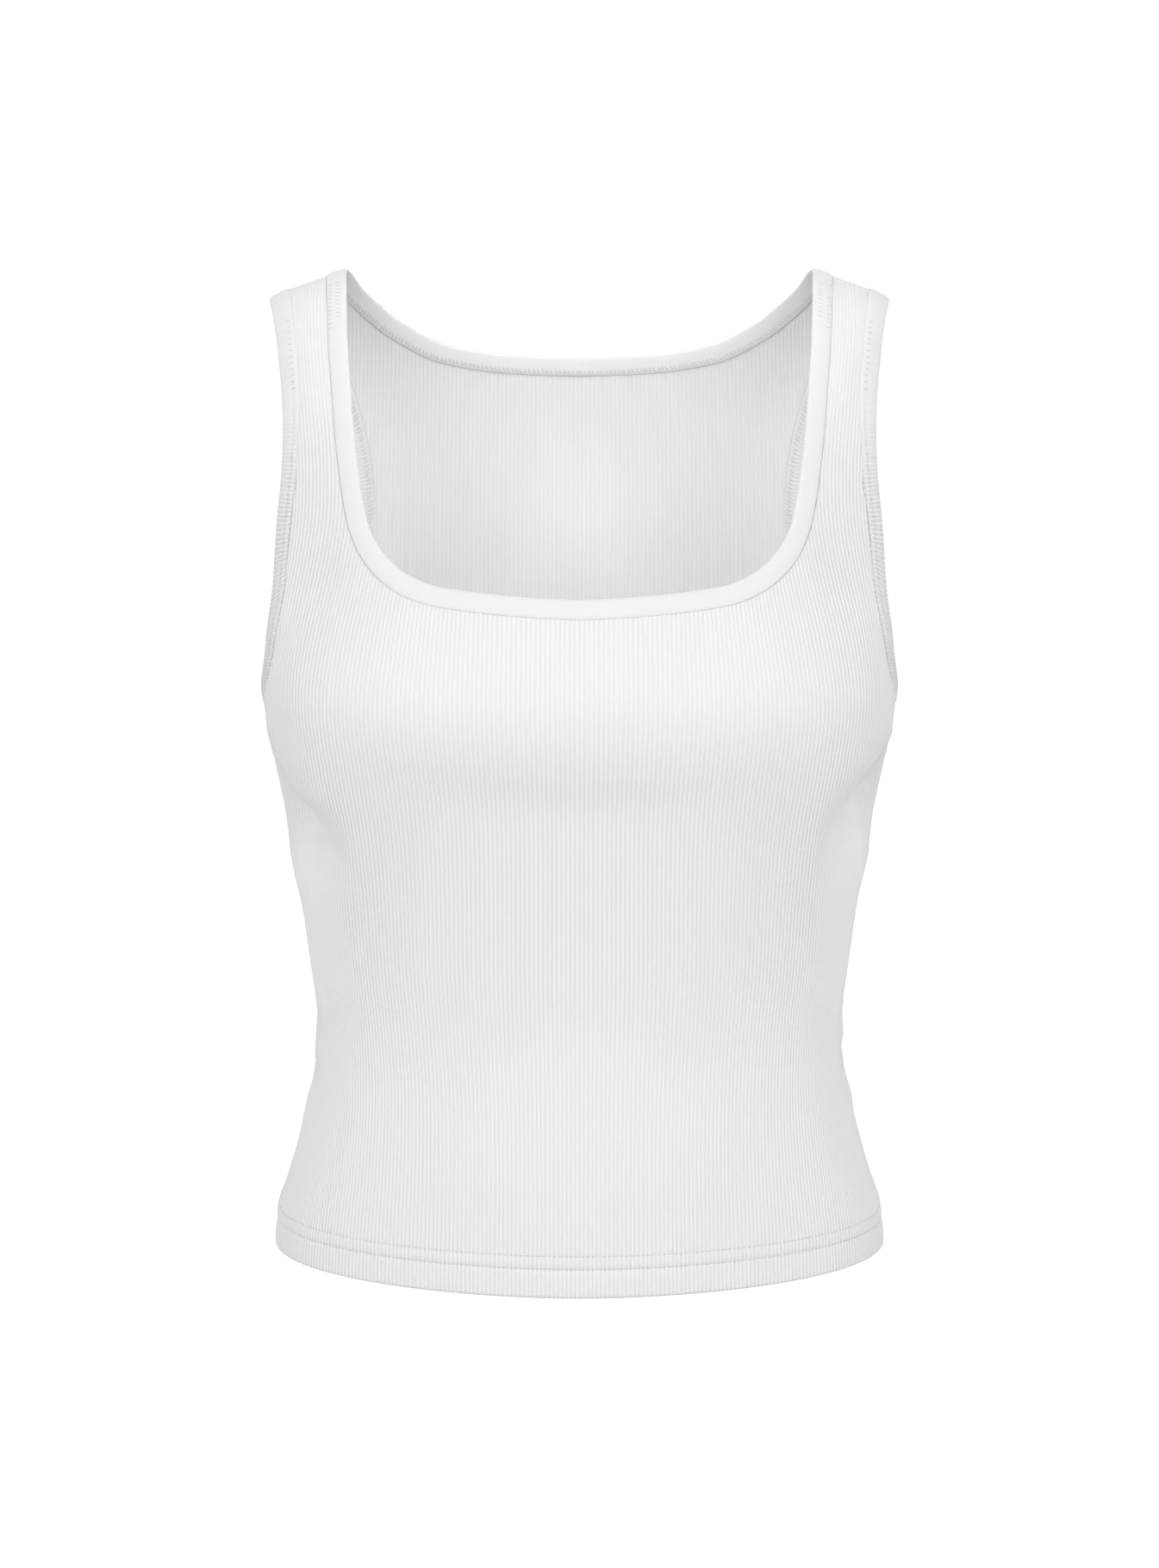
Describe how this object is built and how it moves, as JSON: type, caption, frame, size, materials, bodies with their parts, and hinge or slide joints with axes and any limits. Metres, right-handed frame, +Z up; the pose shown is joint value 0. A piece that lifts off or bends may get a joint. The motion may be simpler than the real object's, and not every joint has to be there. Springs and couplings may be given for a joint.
{
  "type": "tank top",
  "caption": "Cropped tank top in fine rib knit, worn form, with a low square scoop neck, wide straps, folded bindings and a turned-up hem.",
  "frame": {"origin": "midway between the shoulders, level with the undersides of the two straps at the shoulder seams, where the wearer holds the garment up", "axes": "+Z up, +Y towards the wearer's back, +X towards the wearer's left, which is the picture's right"},
  "size_m": [0.3058, 0.2168, 0.4823],
  "materials": {
    "rib_knit": "fine rib knit, matt, white",
    "binding": "the same knit, cut across and folded, smooth, white"
  },
  "bodies": {
    "root": {"front": "rib_knit", "back": "rib_knit", "neck_binding": "binding", "armhole_binding_left": "binding", "armhole_binding_right": "binding"}
  },
  "joints": []
}
